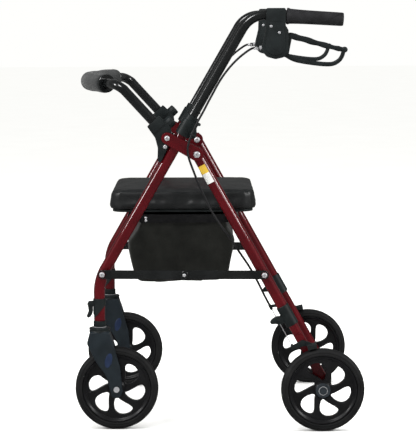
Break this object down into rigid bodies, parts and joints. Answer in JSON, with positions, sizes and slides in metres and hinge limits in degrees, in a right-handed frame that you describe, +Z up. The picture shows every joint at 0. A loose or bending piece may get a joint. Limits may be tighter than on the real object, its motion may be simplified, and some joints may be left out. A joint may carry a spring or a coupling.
{
  "type": "rollator walker",
  "caption": "Folding wheeled walker with a padded seat, a foam-covered backrest, loop brakes, a bag under the seat and height-adjustable handles and legs.",
  "frame": {"origin": "on the floor, at the middle of the overall box", "axes": "+X across the walker to the user's left as they push it, -Y forwards to the swivel wheels, +Z up"},
  "size_m": [0.596, 0.659, 0.9572],
  "materials": {
    "red_paint": "gloss paint",
    "black_paint": "gloss paint",
    "steel": "zinc plated",
    "black_plastic": "satin",
    "grip_rubber": "matte",
    "tyre": "matte",
    "foam": "matte",
    "vinyl": "soft sheen vinyl over foam",
    "board": "satin",
    "nylon": "woven nylon",
    "cable": "smooth"
  },
  "bodies": {
    "frame": {"front_leg_left": "red_paint", "front_leg_right": "red_paint", "front_crossbar": "red_paint", "hinge_plates_left": "red_paint", "hinge_plates_right": "red_paint", "hinge_bolts": "steel", "frame_clamps": "black_plastic", "backrest_sockets": "black_plastic", "bag": "nylon", "brake_cable_left": "cable", "brake_cable_right": "cable"},
    "rear_frame": {"rear_leg_left": "red_paint", "rear_leg_right": "red_paint", "rear_crossbar": "red_paint", "rear_leg_clamps": "black_plastic"},
    "seat": {"seat_pad": "vinyl", "seat_board": "board"},
    "backrest": {"backrest_tube": "black_paint", "backrest_foam": "foam"},
    "link_front_left": {"link_front_left": "black_paint"},
    "link_rear_left": {"link_rear_left": "black_paint"},
    "handle_left": {"handle_tube_left": "black_paint", "grip_left": "grip_rubber", "brake_housing_left": "black_plastic"},
    "brake_lever_left": {"brake_lever_left": "black_plastic"},
    "handle_clamp_lever_left": {"handle_lever_left": "black_plastic"},
    "front_clamp_lever_left": {"front_clamp_lever_left": "black_plastic"},
    "rear_clamp_lever_left": {"rear_clamp_lever_left": "black_plastic"},
    "backrest_knob_left": {"backrest_knob_left": "black_plastic"},
    "front_extension_left": {"front_extension_left": "red_paint"},
    "caster_left": {"caster_fork_left": "black_plastic", "front_axle_left": "steel"},
    "front_wheel_left": {"front_rim_left": "black_plastic", "front_tyre_left": "tyre"},
    "rear_extension_left": {"rear_extension_left": "red_paint", "rear_axle_left": "steel"},
    "brake_rocker_left": {"brake_arm_left": "black_paint"},
    "rear_wheel_left": {"rear_rim_left": "black_plastic", "rear_tyre_left": "tyre"},
    "link_front_right": {"link_front_right": "black_paint"},
    "link_rear_right": {"link_rear_right": "black_paint"},
    "handle_right": {"handle_tube_right": "black_paint", "grip_right": "grip_rubber", "brake_housing_right": "black_plastic"},
    "brake_lever_right": {"brake_lever_right": "black_plastic"},
    "handle_clamp_lever_right": {"handle_lever_right": "black_plastic"},
    "front_clamp_lever_right": {"front_clamp_lever_right": "black_plastic"},
    "rear_clamp_lever_right": {"rear_clamp_lever_right": "black_plastic"},
    "backrest_knob_right": {"backrest_knob_right": "black_plastic"},
    "front_extension_right": {"front_extension_right": "red_paint"},
    "caster_right": {"caster_fork_right": "black_plastic", "front_axle_right": "steel"},
    "front_wheel_right": {"front_rim_right": "black_plastic", "front_tyre_right": "tyre"},
    "rear_extension_right": {"rear_extension_right": "red_paint", "rear_axle_right": "steel"},
    "brake_rocker_right": {"brake_arm_right": "black_paint"},
    "rear_wheel_right": {"rear_rim_right": "black_plastic", "rear_tyre_right": "tyre"}
  },
  "joints": [
    {"name": "fold", "type": "hinge", "parent": "frame", "child": "rear_frame", "pos_m": [0, -0.049, 0.63], "axis": [-1, 0, 0], "range_deg": [0, 27], "deforming": ["bag", "brake_cable_left", "brake_cable_right"]},
    {"name": "seat_flip", "type": "hinge", "parent": "frame", "child": "seat", "pos_m": [0, -0.1967, 0.476], "axis": [1, 0, 0], "range_deg": [0, 75]},
    {"name": "backrest_lift", "type": "slide", "parent": "frame", "child": "backrest", "axis": [0, -0.6756, 0.7373], "range_m": [0, 0.03]},
    {"name": "link_front_left_turn", "type": "hinge", "parent": "frame", "child": "link_front_left", "pos_m": [0.247, -0.265, 0.359], "axis": [1, 0, 0], "range_deg": [0, 40.6]},
    {"name": "link_rear_left_turn", "type": "hinge", "parent": "rear_frame", "child": "link_rear_left", "pos_m": [0.247, 0.10275, 0.356], "axis": [-1, 0, 0], "range_deg": [0, 35.3]},
    {"name": "handle_height_left", "type": "slide", "parent": "frame", "child": "handle_left", "axis": [0, 0.5, 0.866], "range_m": [-0.1, 0], "deforming": ["brake_cable_left"]},
    {"name": "brake_lever_left_pull", "type": "hinge", "parent": "handle_left", "child": "brake_lever_left", "pos_m": [0.247, 0.128, 0.866], "axis": [1, 0, 0], "range_deg": [0, 14], "stiffness_Nm_per_rad": 1.2, "springref_deg": -20.05},
    {"name": "brake_rocker_left_press", "type": "hinge", "parent": "rear_extension_left", "child": "brake_rocker_left", "pos_m": [0.247, 0.19001, 0.19881], "axis": [-1, 0, 0], "range_deg": [0, 4.3]},
    {"name": "handle_clamp_left_release", "type": "hinge", "parent": "frame", "child": "handle_clamp_lever_left", "pos_m": [0.247, -0.05708, 0.67182], "axis": [-1, 0, 0], "range_deg": [0, 100]},
    {"name": "front_clamp_left_release", "type": "hinge", "parent": "frame", "child": "front_clamp_lever_left", "pos_m": [0.247, -0.2955, 0.29], "axis": [-1, 0, 0], "range_deg": [0, 100]},
    {"name": "rear_clamp_left_release", "type": "hinge", "parent": "rear_frame", "child": "rear_clamp_lever_left", "pos_m": [0.247, 0.13499, 0.25064], "axis": [-1, 0, 0], "range_deg": [0, 100]},
    {"name": "backrest_knob_left_turn", "type": "hinge", "parent": "frame", "child": "backrest_knob_left", "pos_m": [0.247, -0.12943, 0.68483], "axis": [0, 0.7373, 0.6756], "continuous": true},
    {"name": "front_height_left", "type": "slide", "parent": "frame", "child": "front_extension_left", "axis": [0, 0, -1], "range_m": [0, 0.03]},
    {"name": "caster_left_swivel", "type": "hinge", "parent": "front_extension_left", "child": "caster_left", "pos_m": [0.247, -0.2725, 0.235], "axis": [0, 0, 1], "continuous": true},
    {"name": "front_wheel_left_spin", "type": "hinge", "parent": "caster_left", "child": "front_wheel_left", "pos_m": [0.247, -0.2345, 0.095], "axis": [1, 0, 0], "continuous": true},
    {"name": "rear_height_left", "type": "slide", "parent": "rear_frame", "child": "rear_extension_left", "axis": [0, 0.4848, -0.8746], "range_m": [0, 0.03], "deforming": ["brake_cable_left"]},
    {"name": "rear_wheel_left_spin", "type": "hinge", "parent": "rear_extension_left", "child": "rear_wheel_left", "pos_m": [0.28, 0.2345, 0.095], "axis": [1, 0, 0], "continuous": true},
    {"name": "link_front_right_turn", "type": "hinge", "parent": "frame", "child": "link_front_right", "pos_m": [-0.247, -0.265, 0.359], "axis": [1, 0, 0], "range_deg": [0, 40.6]},
    {"name": "link_rear_right_turn", "type": "hinge", "parent": "rear_frame", "child": "link_rear_right", "pos_m": [-0.247, 0.10275, 0.356], "axis": [-1, 0, 0], "range_deg": [0, 35.3]},
    {"name": "handle_height_right", "type": "slide", "parent": "frame", "child": "handle_right", "axis": [0, 0.5, 0.866], "range_m": [-0.1, 0], "deforming": ["brake_cable_right"]},
    {"name": "brake_lever_right_pull", "type": "hinge", "parent": "handle_right", "child": "brake_lever_right", "pos_m": [-0.247, 0.128, 0.866], "axis": [1, 0, 0], "range_deg": [0, 14], "stiffness_Nm_per_rad": 1.2, "springref_deg": -20.05},
    {"name": "brake_rocker_right_press", "type": "hinge", "parent": "rear_extension_right", "child": "brake_rocker_right", "pos_m": [-0.247, 0.19001, 0.19881], "axis": [-1, 0, 0], "range_deg": [0, 4.3]},
    {"name": "handle_clamp_right_release", "type": "hinge", "parent": "frame", "child": "handle_clamp_lever_right", "pos_m": [-0.247, -0.05708, 0.67182], "axis": [-1, 0, 0], "range_deg": [0, 100]},
    {"name": "front_clamp_right_release", "type": "hinge", "parent": "frame", "child": "front_clamp_lever_right", "pos_m": [-0.247, -0.2955, 0.29], "axis": [-1, 0, 0], "range_deg": [0, 100]},
    {"name": "rear_clamp_right_release", "type": "hinge", "parent": "rear_frame", "child": "rear_clamp_lever_right", "pos_m": [-0.247, 0.13499, 0.25064], "axis": [-1, 0, 0], "range_deg": [0, 100]},
    {"name": "backrest_knob_right_turn", "type": "hinge", "parent": "frame", "child": "backrest_knob_right", "pos_m": [-0.247, -0.12943, 0.68483], "axis": [0, 0.7373, 0.6756], "continuous": true},
    {"name": "front_height_right", "type": "slide", "parent": "frame", "child": "front_extension_right", "axis": [0, 0, -1], "range_m": [0, 0.03]},
    {"name": "caster_right_swivel", "type": "hinge", "parent": "front_extension_right", "child": "caster_right", "pos_m": [-0.247, -0.2725, 0.235], "axis": [0, 0, 1], "continuous": true},
    {"name": "front_wheel_right_spin", "type": "hinge", "parent": "caster_right", "child": "front_wheel_right", "pos_m": [-0.247, -0.2345, 0.095], "axis": [1, 0, 0], "continuous": true},
    {"name": "rear_height_right", "type": "slide", "parent": "rear_frame", "child": "rear_extension_right", "axis": [0, 0.4848, -0.8746], "range_m": [0, 0.03], "deforming": ["brake_cable_right"]},
    {"name": "rear_wheel_right_spin", "type": "hinge", "parent": "rear_extension_right", "child": "rear_wheel_right", "pos_m": [-0.28, 0.2345, 0.095], "axis": [1, 0, 0], "continuous": true}
  ],
  "couplings": [
    {"joint": "link_front_left_turn", "follows": "fold", "ratio": 1.4982},
    {"joint": "link_rear_left_turn", "follows": "fold", "ratio": 1.3024},
    {"joint": "brake_rocker_left_press", "follows": "brake_lever_left_pull", "ratio": 0.3},
    {"joint": "link_front_right_turn", "follows": "fold", "ratio": 1.4982},
    {"joint": "link_rear_right_turn", "follows": "fold", "ratio": 1.3024},
    {"joint": "brake_rocker_right_press", "follows": "brake_lever_right_pull", "ratio": 0.3}
  ]
}
